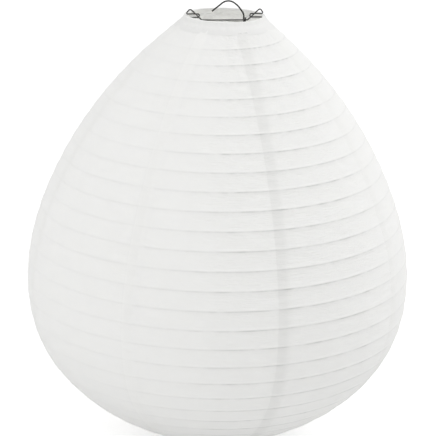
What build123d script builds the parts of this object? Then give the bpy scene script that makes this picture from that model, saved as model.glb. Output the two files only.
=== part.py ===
from build123d import *
import os
from math import cos, pi, radians, sin, tan

# Paper lantern: a drop-shaped paper shade on a spiral wire rib, with a rim ring at each end,
# held open by one bent wire frame whose cross bar carries a hanging hook.
# Millimetres. +Z is up. The origin is on the axis, in the plane that the lower rim stands on.
# The wire frame lies in the XZ plane.

# --- Rim rings ------------------------------------------------------------------------------
ring_radius = 34.0
ring_wire = 0.9
ring_clearance = 0.05

# --- Shade outline: outer face of the paper, radius and height at each point -------------
foot_flare, foot_height = 7.0, 7.0
lower_radius, lower_height = 124.0, 47.0
turn_radius, turn_height = 165.0, 100.0
belly_radius, belly_height = 175.0, 150.0
upper_radius, upper_height = 152.0, 249.0
shoulder_radius, shoulder_height = 97.0, 336.0
neck_flare, neck_height = 6.8, 391.0
foot_radius = ring_radius + foot_flare
neck_radius = ring_radius + neck_flare

# --- Paper --------------------------------------------------------------------------------
paper = 0.4
gore_count = 8
first_seam = 8.0
wall_steps = 32

# --- Hems: a collar from the paper's end to a fold round each ring --------------------------
collar_rise = 5.5
collar_flare = 3.3
collar_drop = 1.8
collar_taper = 0.6
hem_wall = 0.35
fold_width = 0.9
top_ring_height = neck_height + collar_rise
collar_radius = ring_radius + collar_flare

# --- Spiral rib -----------------------------------------------------------------------------
rib_wire = 0.8
rib_sides = 6
rib_turns = 29.5
rib_start = -12.0
rib_clearance = 0.2
corners_per_turn = 10
rounded_share = 0.495

# --- Wire frame -----------------------------------------------------------------------------
frame_wire = 1.2
leg_offset = 1.3
grip_depth = 12.3
grip_bend = 1.4
bar_inset = 14.6
bar_drop = 3.8
ear_inset = 3.6
ear_rise = 6.7
ear_bend = 1.8
ear_foot_bend = 1.0
foot_step = 3.6
foot_bend = 1.2
leg_bend = 0.9
bend = 2.0
end_gap = 0.4

# --- Hanging hook ---------------------------------------------------------------------------
hook_wire = 1.4
hook_inset = 3.3
hook_tip, hook_tip_rise = -11.6, 7.7
hook_crown, hook_crown_rise = 2.6, 19.2
hook_shoulder, hook_shoulder_rise = 12.0, 12.5
hook_neck_rise = 5.0
hook_tail = 3.5
hook_bends = [9.0, 18.0, 9.0]
eye_bend = 1.2
eye_gap = 0.1

# --- Clearance between neighbours that don't touch -------------------------------------------
clearance = 0.15

os.makedirs("parts", exist_ok=True)


def save(part, label):
    part.label = label
    export_step(part, f"parts/{label}.step")


# The outline runs from the foot of the paper up to its neck.
outline_points = [
    (foot_radius, foot_height),
    (lower_radius, lower_height),
    (turn_radius, turn_height),
    (belly_radius, belly_height),
    (upper_radius, upper_height),
    (shoulder_radius, shoulder_height),
    (neck_radius, neck_height),
]
outline = Edge.make_spline([Vector(r, 0, z) for r, z in outline_points])


def inside(share, depth):
    """Radius and height of the point at this share of the outline, moved in by depth."""
    surface = outline.position_at(share)
    along = outline.tangent_at(share)
    return surface.X - depth * along.Z, surface.Z + depth * along.X


# Paper gores: equal lengthwise strips, edge to edge, each a thin shell of revolution.
gore_angle = 360 / gore_count
inner_points = [inside(step / wall_steps, paper) for step in range(wall_steps + 1)]
for number in range(gore_count):
    seam = radians(first_seam + number * gore_angle)
    seam_plane = Plane((0, 0, 0), x_dir=(cos(seam), sin(seam), 0), z_dir=(sin(seam), -cos(seam), 0))
    with BuildPart() as gore:
        with BuildSketch(seam_plane):
            with BuildLine():
                Spline(*outline_points)
                Line(outline_points[-1], inner_points[-1])
                Spline(*inner_points)
                Line(inner_points[0], outline_points[0])
            make_face()
        revolve(axis=Axis.Z, revolution_arc=gore_angle)
    save(gore.part, f"paper_gore_{number + 1}")

# Spiral rib: one wire wound under the paper from the lower rim to the upper one. Its path is
# a run of corners spaced evenly round each turn, each rounded almost up to its neighbours: the
# corners stand outside the wire, and only its two ends are on it. Its section has a few flat
# sides, because a round one this long is too heavy to mesh.
rib_inset = paper + rib_clearance + rib_wire / 2
rib_steps = round(rib_turns * corners_per_turn)


def rib_corner(step):
    radius, height = inside(step / rib_steps, rib_inset)
    if 0 < step < rib_steps:
        radius = radius / cos(pi / corners_per_turn)
    angle = radians(rib_start) - 2 * pi * (rib_steps - step) / corners_per_turn
    return Vector(radius * cos(angle), radius * sin(angle), height)


def corner_bend(before, corner, after):
    run_in, run_out = corner - before, after - corner
    half_turn = radians(run_in.get_angle(run_out)) / 2
    return rounded_share * min(run_in.length, run_out.length) / tan(half_turn)


rib_corners = [rib_corner(step) for step in range(rib_steps + 1)]
rib_bends = [corner_bend(*three) for three in zip(rib_corners, rib_corners[1:], rib_corners[2:])]
with BuildPart() as spiral_rib:
    with BuildLine() as rib_path:
        FilletPolyline(*rib_corners, radius=rib_bends)
    with BuildSketch(rib_path.line ^ 0):
        RegularPolygon(rib_wire / 2, rib_sides)
    sweep()
save(spiral_rib.part, "spiral_rib")

# Rim rings: plain wire hoops. The lower one rests, inside its hem, on the ground.
hem_bore = ring_wire / 2 + ring_clearance
hem_radius = hem_bore + hem_wall
bottom_ring_height = hem_radius
for label, height in (("top_rim_ring", top_ring_height), ("bottom_rim_ring", bottom_ring_height)):
    with BuildPart() as ring:
        with BuildSketch(Plane.XZ):
            with Locations((ring_radius, height)):
                Circle(ring_wire / 2)
        revolve(axis=Axis.Z)
    save(ring.part, label)

# Rim hems: a paper strip glued along the gores' ends, brought up as a collar and folded round
# the ring. The lower hem is the same strip the other way up.
for label, height, edge_radius, edge_height, up in (
    ("top_rim_hem", top_ring_height, neck_radius, neck_height, 1),
    ("bottom_rim_hem", bottom_ring_height, foot_radius, foot_height, -1),
):
    with BuildPart() as hem:
        with BuildSketch(Plane.XZ):
            with BuildLine():
                Polyline(
                    (edge_radius - paper / 2, edge_height + up * (clearance + paper / 2)),
                    (collar_radius, height - up * collar_drop),
                    (collar_radius - collar_taper, height + up * (hem_radius - hem_wall / 2)),
                    (ring_radius, height + up * (hem_radius - hem_wall / 2)),
                )
                offset(amount=hem_wall / 2, side=Side.BOTH)
            make_face()
            with Locations((ring_radius, height)):
                Circle(hem_radius)
                Rectangle(fold_width, 2 * hem_radius)
                Circle(hem_bore, mode=Mode.SUBTRACT)
        revolve(axis=Axis.Z)
    save(hem.part, label)

# Wire frame: one bent wire. From the middle of the foot bar it steps out over the lower ring,
# rises as a leg just inside the rims, folds into a narrow grip below and above the upper ring,
# stands up as an ear and comes back down to the cross bar, and the same again mirrored.
grip = hem_radius + clearance + frame_wire / 2
wire_offset = frame_wire / 2 + clearance
leg_radius = ring_radius + leg_offset
grip_end = leg_radius - grip_depth
ear_radius = leg_radius - ear_inset
bar_half_length = leg_radius - bar_inset
foot_level = bottom_ring_height + grip
foot_bar_level = frame_wire / 2 + clearance
step_radius = leg_radius - foot_step
bar_level = top_ring_height - bar_drop
half_frame = [
    (step_radius, wire_offset, foot_bar_level),
    (step_radius, wire_offset, foot_level),
    (leg_radius, wire_offset, foot_level),
    (leg_radius, wire_offset, top_ring_height - grip),
    (grip_end, wire_offset, top_ring_height - grip),
    (grip_end, wire_offset, top_ring_height + grip),
    (leg_radius, wire_offset, top_ring_height + grip),
    (ear_radius, -wire_offset, top_ring_height + ear_rise),
    (bar_half_length, -wire_offset, bar_level),
]
grip_bends = [grip_bend] * 3
half_bends = [foot_bend, leg_bend, bend, *grip_bends, ear_foot_bend, ear_bend, bend]
other_half = [(-x, y, z) for x, y, z in reversed(half_frame)]
with BuildPart() as wire_frame:
    with BuildLine() as frame_path:
        FilletPolyline(
            (end_gap / 2, wire_offset, foot_bar_level),
            *half_frame,
            *other_half,
            (-end_gap / 2, wire_offset, foot_bar_level),
            radius=half_bends + half_bends[::-1],
        )
    with BuildSketch(frame_path.line ^ 0):
        Circle(frame_wire / 2)
    sweep()
save(wire_frame.part, "wire_frame")

# Hanging hook: a stiff wire that makes one turn round the cross bar, arches over and ends free.
eye = frame_wire / 2 + clearance + hook_wire / 2
side = -wire_offset + eye
front = -wire_offset - eye
pitch = hook_wire + eye_gap
hook_at = bar_half_length - hook_inset
with BuildPart() as hanging_hook:
    with BuildLine() as hook_path:
        FilletPolyline(
            (hook_tip, side, bar_level + hook_tip_rise),
            (hook_crown, side, bar_level + hook_crown_rise),
            (hook_shoulder, side, bar_level + hook_shoulder_rise),
            (hook_at, side, bar_level + hook_neck_rise),
            (hook_at, side, bar_level - eye),
            (hook_at + pitch / 3, front, bar_level - eye),
            (hook_at + 2 * pitch / 3, front, bar_level + eye),
            (hook_at + pitch, side, bar_level + eye),
            (hook_at + pitch, side, bar_level - hook_tail),
            radius=hook_bends + [eye_bend] * 4,
        )
    with BuildSketch(hook_path.line ^ 0):
        Circle(hook_wire / 2)
    sweep()
save(hanging_hook.part, "hanging_hook")
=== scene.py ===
# %% [markdown]
# # A paper lantern on a spiral wire
# The lantern is eight tapering sheets of thin white paper, glued edge over edge round one wire
# that climbs inside them like a loose spring. A hoop of wire stiffens each end, with a folded
# paper hem round it. One bent wire stands inside and pushes the two hoops apart, and a small
# hook swings on its cross bar.
#
# The wires come from the measured frame and only need a finish. The paper is what has to be
# made here: in the frame it is a set of smooth shells, and the real sheets dip between the
# passes of the rib, overlap at their seams and are finely creased.

# %% Load the measured frame
import math

import bpy
import numpy as np
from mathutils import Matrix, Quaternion, Vector
from mathutils.bvhtree import BVHTree


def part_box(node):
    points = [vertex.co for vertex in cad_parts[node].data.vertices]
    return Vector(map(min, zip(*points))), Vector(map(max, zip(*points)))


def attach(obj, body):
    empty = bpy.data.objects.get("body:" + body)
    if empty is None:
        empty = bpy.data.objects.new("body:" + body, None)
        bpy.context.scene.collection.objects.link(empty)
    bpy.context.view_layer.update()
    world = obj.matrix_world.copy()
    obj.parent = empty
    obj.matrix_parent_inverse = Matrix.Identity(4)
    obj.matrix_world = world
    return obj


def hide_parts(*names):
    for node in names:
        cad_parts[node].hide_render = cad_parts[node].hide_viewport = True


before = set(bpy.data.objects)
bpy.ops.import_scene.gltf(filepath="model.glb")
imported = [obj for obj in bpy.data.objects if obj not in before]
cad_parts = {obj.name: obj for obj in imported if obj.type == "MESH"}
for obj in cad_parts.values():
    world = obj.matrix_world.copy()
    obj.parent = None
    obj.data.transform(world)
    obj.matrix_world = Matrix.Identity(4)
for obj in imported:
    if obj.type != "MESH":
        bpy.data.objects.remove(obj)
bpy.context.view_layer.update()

# %% [markdown]
# ## Working as by hand
# Blender's operators act on whatever is selected, and the frame arrives with every piece
# selected. So each step starts from nothing selected, and names what it has just made.

# %% Helpers for selecting, naming and applying
MM = 0.001


def select_nothing():
    if bpy.context.mode != "OBJECT":
        bpy.ops.object.mode_set(mode="OBJECT")
    bpy.ops.object.select_all(action="DESELECT")


def name_it(name):
    piece = bpy.context.active_object
    piece.name = piece.data.name = name
    return piece


def apply_modifiers(piece):
    select_nothing()
    piece.select_set(True)
    bpy.context.view_layer.objects.active = piece
    for modifier in list(piece.modifiers):
        bpy.ops.object.modifier_apply(modifier=modifier.name)
    bpy.ops.object.shade_smooth_by_angle(angle=math.radians(50))


def points_of(piece):
    flat = np.zeros(len(piece.data.vertices) * 3)
    piece.data.vertices.foreach_get("co", flat)
    return flat.reshape(-1, 3)


def move_points(piece, points):
    piece.data.vertices.foreach_set("co", np.ravel(points))
    piece.data.update()


# %% [markdown]
# ## The shade's outline
# Every sheet follows one outline, so it is read once, off a gore of the frame: level rays
# from outside give its radius at each height. Distance along the outline is then kept as a
# share, 0 at the foot and 1 at the neck, because the rib climbs evenly along it.

# %% Read the outline off the first gore
gore_count = 8
gore_angle = 2 * math.pi / gore_count
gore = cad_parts["paper_gore_1"]
first_seam = np.arctan2(points_of(gore)[:, 1], points_of(gore)[:, 0]).min()
foot_height, neck_height = (corner.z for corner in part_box("paper_gore_1"))
just_inside = 0.002
ray_count = 700

ray_angle = first_seam + just_inside
outwards = Vector((math.cos(ray_angle), math.sin(ray_angle), 0))
heights = np.linspace(foot_height + 1e-5, neck_height - 1e-5, ray_count)
tree = BVHTree.FromObject(gore, bpy.context.evaluated_depsgraph_get())
hits = [tree.ray_cast(outwards + Vector((0, 0, z)), -outwards)[0] for z in heights]
radii = np.array([Vector((hit.x, hit.y)).length for hit in hits])

run = np.concatenate([[0], np.cumsum(np.hypot(np.diff(radii), np.diff(heights)))])
shares = run / run[-1]
lean = np.gradient(radii, run)
climb = np.gradient(heights, run)
size = np.hypot(lean, climb)
lean, climb = lean / size, climb / size
print("outline", round(run[-1], 4), "m long, widest", round(2 * radii.max(), 4), "m")


# %% Place a point on the outline, or a little way off it
def off_outline(share, outward):
    """Radius and height at this share of the outline, moved outward from the paper's face."""
    radius = np.interp(share, shares, radii) + outward * np.interp(share, shares, climb)
    height = np.interp(share, shares, heights) - outward * np.interp(share, shares, lean)
    return radius, height


# %% [markdown]
# ## Where the rib runs
# The paper's relief and its painted rib shadow, shade and highlight all follow the rib, so every
# point of the paper gets a turn number that is a whole number wherever the rib passes under it.
# The frame's own
# rib is a good test of the formula.

# %% Number the turns, and test the numbers on the frame's rib
rib_turns = 29.5
rib_start = math.radians(-12)


def turn_at(angle, share):
    return rib_turns * (1 - share) + (angle - rib_start) / (2 * math.pi)


rib_points = points_of(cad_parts["spiral_rib"])
rib_shares = np.interp(rib_points[:, 2], heights, shares)
rib_numbers = turn_at(np.arctan2(rib_points[:, 1], rib_points[:, 0]), rib_shares)
wide_part = (rib_shares > 0.3) & (rib_shares < 0.9)
misses = np.abs(rib_numbers - np.round(rib_numbers))[wide_part]
print("rib points lie within", round(float(np.percentile(misses, 99)), 3), "turn of a whole one")

# %% [markdown]
# ## How the paper creases
# Glued paper is never smooth: it shrinks into shallow hollows between the passes of the rib,
# puckers beside each seam, and carries short creases that run along the wire. Smooth random
# values on a lattice, closed round the lantern, give all of these without a visible repeat.

# %% Smooth random values round the lantern
def smooth_step(value):
    value = np.clip(value, 0, 1)
    return value * value * (3 - 2 * value)


def ripple(angle, turn, cells, per_turn, seed):
    """Between -1 and 1. One cell is 1/cells of the way round and 1/per_turn of a turn high."""
    tall = 256
    lattice = np.random.default_rng(seed).uniform(-1, 1, (cells, tall))
    across = angle / (2 * math.pi) * cells
    along = turn * per_turn
    column, row = np.floor(across).astype(int), np.floor(along).astype(int)
    x, y = smooth_step(across - column), smooth_step(along - row)
    low = lattice[column % cells, row % tall] * (1 - x)
    low = low + lattice[(column + 1) % cells, row % tall] * x
    high = lattice[column % cells, (row + 1) % tall] * (1 - x)
    high = high + lattice[(column + 1) % cells, (row + 1) % tall] * x
    return low * (1 - y) + high * y


# %% How slack the paper is round the lantern, in degrees from the frame's +X
slack_angles = [20, 60, 110, 155, 188, 210, 231, 245, 262, 285, 308, 325, 349]
slack_values = [0.6, 0.9, 0.6, 0.4, 0.2, 0.12, 0.35, 0.45, 0.95, 1.0, 1.0, 0.55, 0.45]


def slackness(angle):
    return np.interp(np.degrees(angle), slack_angles, slack_values, period=360)


# %% Relief of the paper: hollows, puckers and creases
hollow = 0.85 * MM
crease = 0.34 * MM
pucker = 0.5 * MM
pucker_reach = 22 * MM


def relief(angle, share):
    turn = turn_at(angle, share)
    slack = slackness(angle)
    beside_rib = np.abs(2 * (turn - np.floor(turn)) - 1)
    between_ribs = 1 - beside_rib ** 2.4
    from_seam = (angle - first_seam + gore_angle / 2) % gore_angle - gore_angle / 2
    from_seam = np.abs(from_seam) * np.interp(share, shares, radii)
    near_seam = np.exp(-((from_seam / pucker_reach) ** 2))
    depth = hollow * (0.8 + 0.3 * ripple(angle, turn, 48, 1, 1)) * (0.15 + 0.85 * slack)
    depth = depth * smooth_step(np.minimum(share, 1 - share) * rib_turns / 1.5)
    creases = ripple(angle, turn, 60, 3.5, 2) + 0.7 * ripple(angle, turn, 84, 6, 3)
    patches = np.clip(0.45 + ripple(angle, turn, 20, 0.6, 4), 0, 1)
    puckers = ripple(angle + 0.02 * turn, turn, 96, 5, 5)
    fine = crease * patches * creases * slack + pucker * near_seam * puckers * slack
    return between_ribs ** 0.6 * fine - between_ribs * depth


# %% [markdown]
# ## A sheet of paper
# Each sheet starts as a flat grid, the way it is cut, and is then wrapped round the form: its
# columns go round the lantern and its rows lean with the rib, so that a row lies on every
# pass of the wire and the ridge there stays crisp. The sheet is wider than its share of the
# circle by a lap, and its first edge rides over the last edge of the sheet before it.

# %% Wrap a flat grid round the form
lap = 8 * MM
lap_ramp = 4 * MM
paper = 0.18 * MM
lap_gap = 0.03 * MM
rows_per_turn = 12
columns = 42
thin_edge_width = 3 * MM
# Painted light along two seams: a painted highlight on sheet 6's seam, painted shade on sheet
# 7's
seam_highlight_and_shade = {6: -1.2, 7: 1.2}


def row_shares(middle):
    """Where the sheet's rows cross its middle: both ends, and an even number for each turn."""
    lead = (middle - rib_start) / (2 * math.pi) * rows_per_turn
    marks = np.arange(math.ceil(lead + 0.4), math.floor(lead + rib_turns * rows_per_turn - 0.4))
    inner = 1 - (marks - lead) / rows_per_turn / rib_turns
    return np.concatenate([[0], inner[::-1], [1]])


def wrap_sheet(number):
    start = first_seam + (number - 1) * gore_angle
    middle = start + gore_angle / 2
    levels = row_shares(middle)
    select_nothing()
    bpy.ops.mesh.primitive_grid_add(
        x_subdivisions=columns, y_subdivisions=len(levels) - 1, size=1, location=(0, 0, 0)
    )
    piece = name_it(f"paper_sheet_{number}")
    flat = points_of(piece)
    across = flat[:, 0] + 0.5
    share = levels[np.rint((flat[:, 1] + 0.5) * (len(levels) - 1)).astype(int)]
    half_lap = lap / 2 / np.interp(share, shares, radii)
    angle = start - half_lap + across * (gore_angle + 2 * half_lap)
    from_ends = np.minimum(share, 1 - share) * rib_turns
    share = share + (angle - middle) / (2 * math.pi * rib_turns) * smooth_step(from_ends)
    from_edge = across * (gore_angle + 2 * half_lap) * np.interp(share, shares, radii)
    doubled = 1 - smooth_step((from_edge - lap) / lap_ramp)
    thin_edge = 0.15 + 0.85 * smooth_step(from_edge / thin_edge_width)
    lift = doubled * thin_edge * (paper + lap_gap)
    radius, height = off_outline(share, relief(angle, share) + lift)
    move_points(piece, np.stack([radius * np.cos(angle), radius * np.sin(angle), height], 1))

    # Painted highlight or painted shade over this sheet's lap, from its seam's entry
    painted_seam_light = doubled * seam_highlight_and_shade.get(number, 0)
    marks = {"doubled": doubled, "painted_seam_light": painted_seam_light, "slack": slackness(angle)}
    for label, values in marks.items():
        layer = piece.data.attributes.new(label, "FLOAT", "POINT")
        layer.data.foreach_set("value", values.astype(np.float32))
    corner = np.zeros(len(piece.data.loops), int)
    piece.data.loops.foreach_get("vertex_index", corner)
    flat_map = np.stack([angle / (2 * math.pi) * 60, turn_at(angle, share)], 1)[corner]
    piece.data.uv_layers[0].data.foreach_set("uv", np.ravel(flat_map))

    wall = piece.modifiers.new("paper", "SOLIDIFY")
    wall.thickness = paper
    wall.offset = -1
    apply_modifiers(piece)
    return piece


# %% Make the eight sheets
sheets = [wrap_sheet(number) for number in range(1, gore_count + 1)]
for number, piece in enumerate(sheets, 1):
    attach(piece, "lantern")
    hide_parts(f"paper_gore_{number}")
print(len(sheets), "sheets,", sum(len(s.data.polygons) for s in sheets), "faces")

# %% [markdown]
# ## The hems
# A strip of the same paper covers each end: it is glued over the last few millimetres of the
# sheets, comes up as a short collar and is folded over the hoop. That is a turned shape, so
# its section is drawn by extruding one point along it and then spun round the axis. Paper
# can't be turned smoothly round so tight a circle, so the collar is pushed into small pleats.

# %% Draw a section point by point and spin it
def spin_section(name, section, steps):
    select_nothing()
    bpy.ops.mesh.primitive_plane_add(size=MM, location=(0, 0, 0))
    bpy.ops.object.mode_set(mode="EDIT")
    bpy.ops.mesh.select_all(action="SELECT")
    bpy.ops.mesh.merge(type="CENTER")
    bpy.ops.transform.translate(value=(section[0][0], 0, section[0][1]))
    for here, there in zip(section, section[1:]):
        step = (there[0] - here[0], 0, there[1] - here[1])
        bpy.ops.mesh.extrude_vertices_move(TRANSFORM_OT_translate={"value": step})
    bpy.ops.mesh.select_all(action="SELECT")
    bpy.ops.mesh.spin(steps=steps, angle=2 * math.pi, center=(0, 0, 0), axis=(0, 0, 1))
    bpy.ops.mesh.select_all(action="SELECT")
    bpy.ops.mesh.remove_doubles(threshold=0.01 * MM)
    bpy.ops.mesh.normals_make_consistent(inside=False)
    bpy.ops.object.mode_set(mode="OBJECT")
    return name_it(name)


# %% Fold a hem over a hoop
hem_paper = 0.2 * MM
hem_lap = 5.5 * MM
hem_feather = 0.15 * MM
fold_radius = 0.68 * MM
collar_radius = 37.3 * MM
collar_drop = 1.8 * MM
pleat = 0.32 * MM
hem_steps = 288


def fold_hem(name, ring_node, share, up):
    low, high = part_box(ring_node)
    ring_height = (low.z + high.z) / 2
    ring_radius = high.x - (high.z - low.z) / 2
    edge = [float(v) for v in off_outline(share, hem_paper / 2)]
    glued = []
    for down, sink in ((1, hem_feather), (0.8, 0.05 * MM), (0.6, 0), (0.4, 0), (0.2, 0), (0, 0)):
        beside = abs(share - down * hem_lap / run[-1])
        glued.append([float(v) for v in off_outline(beside, hem_paper / 2 - sink)])
    collar = [(collar_radius, ring_height - up * collar_drop),
              (collar_radius - 0.35 * MM, ring_height - up * 0.4 * MM),
              (collar_radius - 0.75 * MM, ring_height + up * 0.45 * MM),
              (ring_radius + 1.3 * MM, ring_height + up * fold_radius)]
    halfway = ((edge[0] + collar_radius) / 2 + 0.2 * MM, (edge[1] + collar[0][1]) / 2)
    turned = [math.radians(90 + 26 * step) for step in range(11)]
    fold = [(ring_radius + fold_radius * math.cos(turn),
             ring_height + up * fold_radius * math.sin(turn)) for turn in turned]
    return spin_section(name, glued + [halfway] + collar + fold, hem_steps), ring_radius


def pleat_hem(piece, ring_radius, floor):
    points = points_of(piece)
    angle = np.arctan2(points[:, 1], points[:, 0])
    radius = np.hypot(points[:, 0], points[:, 1])
    free = smooth_step((radius - ring_radius - 1.0 * MM) / (3 * MM))
    glued = smooth_step((radius - collar_radius - 3.0 * MM) / (2 * MM))
    high = ripple(angle, points[:, 2] / (4 * MM), 72, 1, 6)
    high = high + 0.6 * ripple(angle, points[:, 2] / (4 * MM), 130, 1.5, 7)
    swell = pleat * high * (0.12 + 0.88 * free) * (1 - 0.75 * glued)
    radius = radius + swell
    level = np.maximum(points[:, 2] + 0.5 * np.abs(swell) * free, floor)
    move_points(piece, np.stack([radius * np.cos(angle), radius * np.sin(angle), level], 1))
    wall = piece.modifiers.new("paper", "SOLIDIFY")
    wall.thickness = hem_paper
    wall.offset = 0
    apply_modifiers(piece)


# %% Make both hems
hems = []
for place, share, up in (("top", 1, 1), ("bottom", 0, -1)):
    hem, hoop_radius = fold_hem(f"{place}_hem_paper", f"{place}_rim_ring", share, up)
    pleat_hem(hem, hoop_radius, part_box("bottom_rim_hem")[0].z + hem_paper / 2)
    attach(hem, "lantern")
    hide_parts(f"{place}_rim_hem")
    hems.append(hem)
    print(hem.name, len(hem.data.polygons), "faces")

# %% [markdown]
# ## Finishes
# Each finish is a small net of nodes. Math nodes do most of the work, so one helper makes
# them: a term may be a number or another node's output.

# %% Helpers for building a finish
def start_finish(name):
    finish = bpy.data.materials.new(name)
    finish.use_nodes = True
    nodes = finish.node_tree.nodes
    return finish, nodes, finish.node_tree.links, nodes["Principled BSDF"]


def maths(nodes, links, operation, *terms):
    node = nodes.new("ShaderNodeMath")
    node.operation = operation
    for socket, term in zip(node.inputs, terms):
        if isinstance(term, (int, float)):
            socket.default_value = term
        else:
            links.new(term, socket)
    return node.outputs[0]


def noise(nodes, links, source, stretch, scale, detail, roughness=0.5):
    spread = nodes.new("ShaderNodeMapping")
    spread.inputs["Scale"].default_value = stretch
    links.new(source, spread.inputs["Vector"])
    cloud = nodes.new("ShaderNodeTexNoise")
    cloud.inputs["Scale"].default_value = scale
    cloud.inputs["Detail"].default_value = detail
    cloud.inputs["Roughness"].default_value = roughness
    links.new(spread.outputs["Vector"], cloud.inputs["Vector"])
    return cloud.outputs["Fac"]


def tint(nodes, links, colour, amount):
    """The colour, multiplied by a grey amount."""
    mix = nodes.new("ShaderNodeMix")
    mix.data_type = "RGBA"
    mix.blend_type = "MULTIPLY"
    mix.inputs[0].default_value = 1
    mix.inputs[6].default_value = (*colour, 1)
    grey = nodes.new("ShaderNodeCombineColor")
    for socket in grey.inputs:
        links.new(amount, socket)
    links.new(grey.outputs[0], mix.inputs[7])
    return mix.outputs[2]


# %% [markdown]
# ### Rice paper
# Thin white paper lets light through, so it gets some scatter below its surface, and it is
# matt. The rib itself isn't seen through it: its shadow is painted as a thin grey line over each
# pass of the rib, with a painted highlight above and painted shade below, stronger where the
# paper hangs slack. Sheet 6's seam gets a painted highlight and sheet 7's seam painted shade,
# and each lap has less scatter where two layers lie on each other.
# Fibres and cloudy thickness vary the white by a hair, and raise a very fine tooth.

# %% Rice paper
# How dark the painted rib shadow and shade are, and how bright the painted highlight is
painted_rib_depth = 0.17
# How strong the painted seam highlight and shade are
painted_seam_depth = 0.025
lap_loss = 0.9


def rice_paper(name, colour, see_through, lined):
    finish, nodes, links, surface = start_finish(name)
    place = nodes.new("ShaderNodeTexCoord").outputs["Object"]
    cloudy = noise(nodes, links, place, (1, 1, 1), 55, 4)
    fibres = noise(nodes, links, place, (1, 1, 3.5), 420, 3, 0.65)
    amount = maths(nodes, links, "MULTIPLY_ADD", cloudy, 0.035, 0.965)
    amount = maths(nodes, links, "MULTIPLY_ADD", fibres, 0.02, amount)
    height = maths(nodes, links, "MULTIPLY", fibres, 0.35)
    if lined:
        flat_map = nodes.new("ShaderNodeUVMap").outputs["UV"]
        split = nodes.new("ShaderNodeSeparateXYZ")
        links.new(flat_map, split.inputs[0])
        slack = nodes.new("ShaderNodeAttribute")
        slack.attribute_name = "slack"
        painted_seam_light = nodes.new("ShaderNodeAttribute")
        painted_seam_light.attribute_name = "painted_seam_light"
        near = maths(nodes, links, "ADD", split.outputs["Y"], 0.5)
        near = maths(nodes, links, "FRACT", near)
        near = maths(nodes, links, "SUBTRACT", near, 0.5)
        # wire: the painted shadow of the rib wire, a thin grey line over each pass of the rib
        wire = maths(nodes, links, "ABSOLUTE", near)
        wire = maths(nodes, links, "MULTIPLY_ADD", wire, -18, 1)
        wire = maths(nodes, links, "MAXIMUM", wire, 0)
        # Painted shade below each pass of the rib, fading downward
        below = maths(nodes, links, "MULTIPLY_ADD", near, -2.6, 1)
        above = maths(nodes, links, "MULTIPLY_ADD", near, 30, 1)
        painted_shade_below = maths(nodes, links, "MINIMUM", below, above)
        painted_shade_below = maths(nodes, links, "MAXIMUM", painted_shade_below, 0)
        painted_shade_below = maths(nodes, links, "POWER", painted_shade_below, 2.5)
        painted_rib_shade_and_highlight = maths(nodes, links, "MULTIPLY_ADD", painted_shade_below, 0.45, wire)
        # Painted highlight: a light edge just above each pass of the rib
        painted_highlight_above = maths(nodes, links, "ADD", near, 0.1)
        painted_highlight_above = maths(nodes, links, "ABSOLUTE", painted_highlight_above)
        painted_highlight_above = maths(nodes, links, "MULTIPLY_ADD", painted_highlight_above, -12, 1)
        painted_highlight_above = maths(nodes, links, "MAXIMUM", painted_highlight_above, 0)
        painted_rib_shade_and_highlight = maths(nodes, links, "MULTIPLY_ADD", painted_highlight_above, -0.28, painted_rib_shade_and_highlight)
        broken = noise(nodes, links, flat_map, (1, 1.3, 1), 1.1, 3)
        broken = maths(nodes, links, "MULTIPLY_ADD", broken, 3.2, -0.85)
        broken = maths(nodes, links, "MAXIMUM", broken, 0.12)
        painted_rib_shade_and_highlight = maths(nodes, links, "MULTIPLY", painted_rib_shade_and_highlight, broken)
        # The painted shadow, shade and highlight are stronger where the paper hangs slack
        strong = maths(nodes, links, "POWER", slack.outputs["Fac"], 2)
        painted_rib_shade_and_highlight = maths(nodes, links, "MULTIPLY", painted_rib_shade_and_highlight, strong)
        amount = maths(nodes, links, "MULTIPLY_ADD", painted_rib_shade_and_highlight, -painted_rib_depth, amount)
        # Painted highlight and painted shade along the seams
        amount = maths(nodes, links, "MULTIPLY_ADD", painted_seam_light.outputs["Fac"],
                       -painted_seam_depth, amount)
        creased = noise(nodes, links, flat_map, (1, 6, 1), 1.7, 4, 0.6)
        creased = maths(nodes, links, "MULTIPLY", creased, slack.outputs["Fac"])
        creased = maths(nodes, links, "MULTIPLY", creased, slack.outputs["Fac"])
        height = maths(nodes, links, "MULTIPLY_ADD", creased, 2.4, height)
        doubled = nodes.new("ShaderNodeAttribute")
        doubled.attribute_name = "doubled"
        passed = maths(nodes, links, "MULTIPLY_ADD", doubled.outputs["Fac"],
                       -lap_loss * see_through, see_through)
        links.new(passed, surface.inputs["Subsurface Weight"])
    links.new(tint(nodes, links, colour, amount), surface.inputs["Base Color"])
    tooth = nodes.new("ShaderNodeBump")
    tooth.inputs["Strength"].default_value = 0.6
    tooth.inputs["Distance"].default_value = 0.5 * MM
    links.new(height, tooth.inputs["Height"])
    links.new(tooth.outputs["Normal"], surface.inputs["Normal"])
    surface.inputs["Roughness"].default_value = 0.72
    surface.inputs["Specular IOR Level"].default_value = 0.12
    surface.inputs["Subsurface Weight"].default_value = see_through
    surface.inputs["Subsurface Radius"].default_value = (1.0, 1.0, 0.95)
    surface.inputs["Subsurface Scale"].default_value = 0.6 * MM
    return finish


sheet_finish = rice_paper("rice_paper", (0.93, 0.93, 0.912), 0.45, True)
hem_finish = rice_paper("hem_paper", (0.90, 0.90, 0.885), 0.2, False)
for piece in sheets:
    piece.data.materials.clear()
    piece.data.materials.append(sheet_finish)
for piece in hems:
    piece.data.materials.clear()
    piece.data.materials.append(hem_finish)

# %% [markdown]
# ### Drawn wire
# The wires were pulled through a die, which leaves a dull, slightly streaked steel. The frame
# and its hook are darker, oiled wire; the rib and the hoops are lighter, galvanised wire that
# is dulled in patches.

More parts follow.
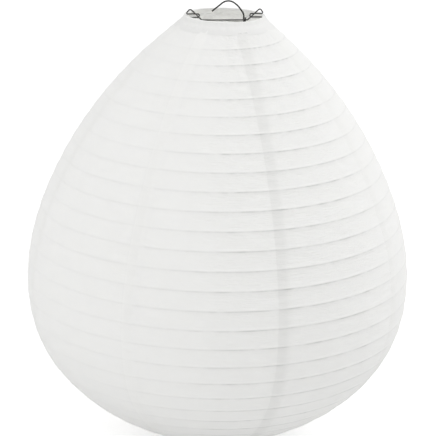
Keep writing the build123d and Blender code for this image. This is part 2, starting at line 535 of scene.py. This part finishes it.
# %% Drawn wire
def drawn_wire(name, colour, roughness, mottle):
    finish, nodes, links, surface = start_finish(name)
    place = nodes.new("ShaderNodeTexCoord").outputs["Object"]
    patches = noise(nodes, links, place, (1, 1, 1), 130, 4, 0.6)
    scratches = noise(nodes, links, place, (6, 6, 1), 500, 3, 0.7)
    amount = maths(nodes, links, "MULTIPLY_ADD", patches, mottle, 1 - mottle / 2)
    amount = maths(nodes, links, "MULTIPLY_ADD", scratches, mottle / 2, amount)
    links.new(tint(nodes, links, colour, amount), surface.inputs["Base Color"])
    dull = maths(nodes, links, "MULTIPLY_ADD", patches, 0.3, roughness - 0.15)
    links.new(dull, surface.inputs["Roughness"])
    marks = nodes.new("ShaderNodeBump")
    marks.inputs["Strength"].default_value = 0.15
    marks.inputs["Distance"].default_value = 0.05 * MM
    links.new(scratches, marks.inputs["Height"])
    links.new(marks.outputs["Normal"], surface.inputs["Normal"])
    surface.inputs["Metallic"].default_value = 1
    return finish


wire_finishes = {
    "wire_frame": drawn_wire("oiled_frame_wire", (0.10, 0.10, 0.098), 0.38, 0.5),
    "hanging_hook": drawn_wire("oiled_hook_wire", (0.045, 0.045, 0.044), 0.4, 0.4),
    "spiral_rib": drawn_wire("galvanised_rib_wire", (0.50, 0.50, 0.49), 0.5, 0.3),
    "top_rim_ring": drawn_wire("galvanised_ring_wire", (0.42, 0.42, 0.41), 0.5, 0.3),
}
wire_finishes["bottom_rim_ring"] = wire_finishes["top_rim_ring"]
for node, finish in wire_finishes.items():
    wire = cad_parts[node]
    wire.data.materials.clear()
    wire.data.materials.append(finish)
    print(node, "has", finish.name)

# %% [markdown]
# ## The stage
# White paper on white needs care. Most of the light is an even white room, and three soft
# lights from the left, the right and above shade the hollows between the ribs. The floor is
# lifted to white for the camera alone, so that it doesn't light the lantern from below.

# %% Floor
select_nothing()
bpy.ops.mesh.primitive_plane_add(size=14, location=(0, 0, -0.0005))
floor = name_it("floor")
camera_lift, floor_glow = 0.4, 0.1
floor_finish, floor_nodes, floor_links, floor_surface = start_finish("pale_floor")
floor_surface.inputs["Base Color"].default_value = (0.75, 0.75, 0.75, 1)
floor_surface.inputs["Roughness"].default_value = 0.9
floor_surface.inputs["Emission Color"].default_value = (1, 1, 1, 1)
ray = floor_nodes.new("ShaderNodeLightPath").outputs["Is Camera Ray"]
lift = maths(floor_nodes, floor_links, "MULTIPLY_ADD", ray, camera_lift, floor_glow)
floor_links.new(lift, floor_surface.inputs["Emission Strength"])
floor.data.materials.append(floor_finish)

# %% Soft lights
world = bpy.data.worlds.new("white_room")
world.use_nodes = True
world.node_tree.nodes["Background"].inputs["Color"].default_value = (1, 1, 1, 1)
world.node_tree.nodes["Background"].inputs["Strength"].default_value = 0.78
bpy.context.scene.world = world
bpy.context.scene.view_settings.view_transform = "Standard"
lantern_middle = Vector((0, 0, 0.19))


def soft_light(name, place, side, power):
    lamp = bpy.data.lights.new(name, "AREA")
    lamp.shape = "DISK"
    lamp.size = side
    lamp.energy = power
    light = bpy.data.objects.new(name, lamp)
    bpy.context.scene.collection.objects.link(light)
    light.location = place
    light.rotation_euler = (lantern_middle - Vector(place)).to_track_quat("-Z", "Y").to_euler()


soft_light("left_softbox", (-2.0, -0.7, 1.0), 1.4, 5)
soft_light("right_softbox", (1.7, 0.2, 1.7), 1.2, 6)
soft_light("top_softbox", (0.9, -0.45, 2.0), 0.9, 4)

# %% A weak light inside, which lifts the inner wall that shows through the rim
fill_lamp = bpy.data.lights.new("inner_fill", "POINT")
fill_lamp.energy = 0.3
fill_lamp.shadow_soft_size = 0.05
inner_fill = bpy.data.objects.new("inner_fill", fill_lamp)
inner_fill.location = lantern_middle
bpy.context.scene.collection.objects.link(inner_fill)

# %% [markdown]
# ## The camera
# A long lens from a little above the lantern's middle: the rim's opening shows as a thin
# ellipse, and the cross bar runs slightly away to the right.

# %% Camera
aim = Vector((-0.0009, 0.0002, 0.2083))
distance = 1.819
azimuth, elevation, roll = math.radians(-10.97), math.radians(16.69), math.radians(1.64)
back = Vector((math.sin(azimuth) * math.cos(elevation),
               -math.cos(azimuth) * math.cos(elevation),
               math.sin(elevation)))
lens = bpy.data.cameras.new("camera")
lens.sensor_width = 36
lens.lens = 163.7
camera = bpy.data.objects.new("camera", lens)
bpy.context.scene.collection.objects.link(camera)
camera.location = aim + back * distance
camera.rotation_mode = "QUATERNION"
camera.rotation_quaternion = (-back).to_track_quat("-Z", "Y") @ Quaternion((0, 0, 1), roll)
bpy.context.scene.camera = camera
print("camera at", [round(c, 3) for c in camera.location])
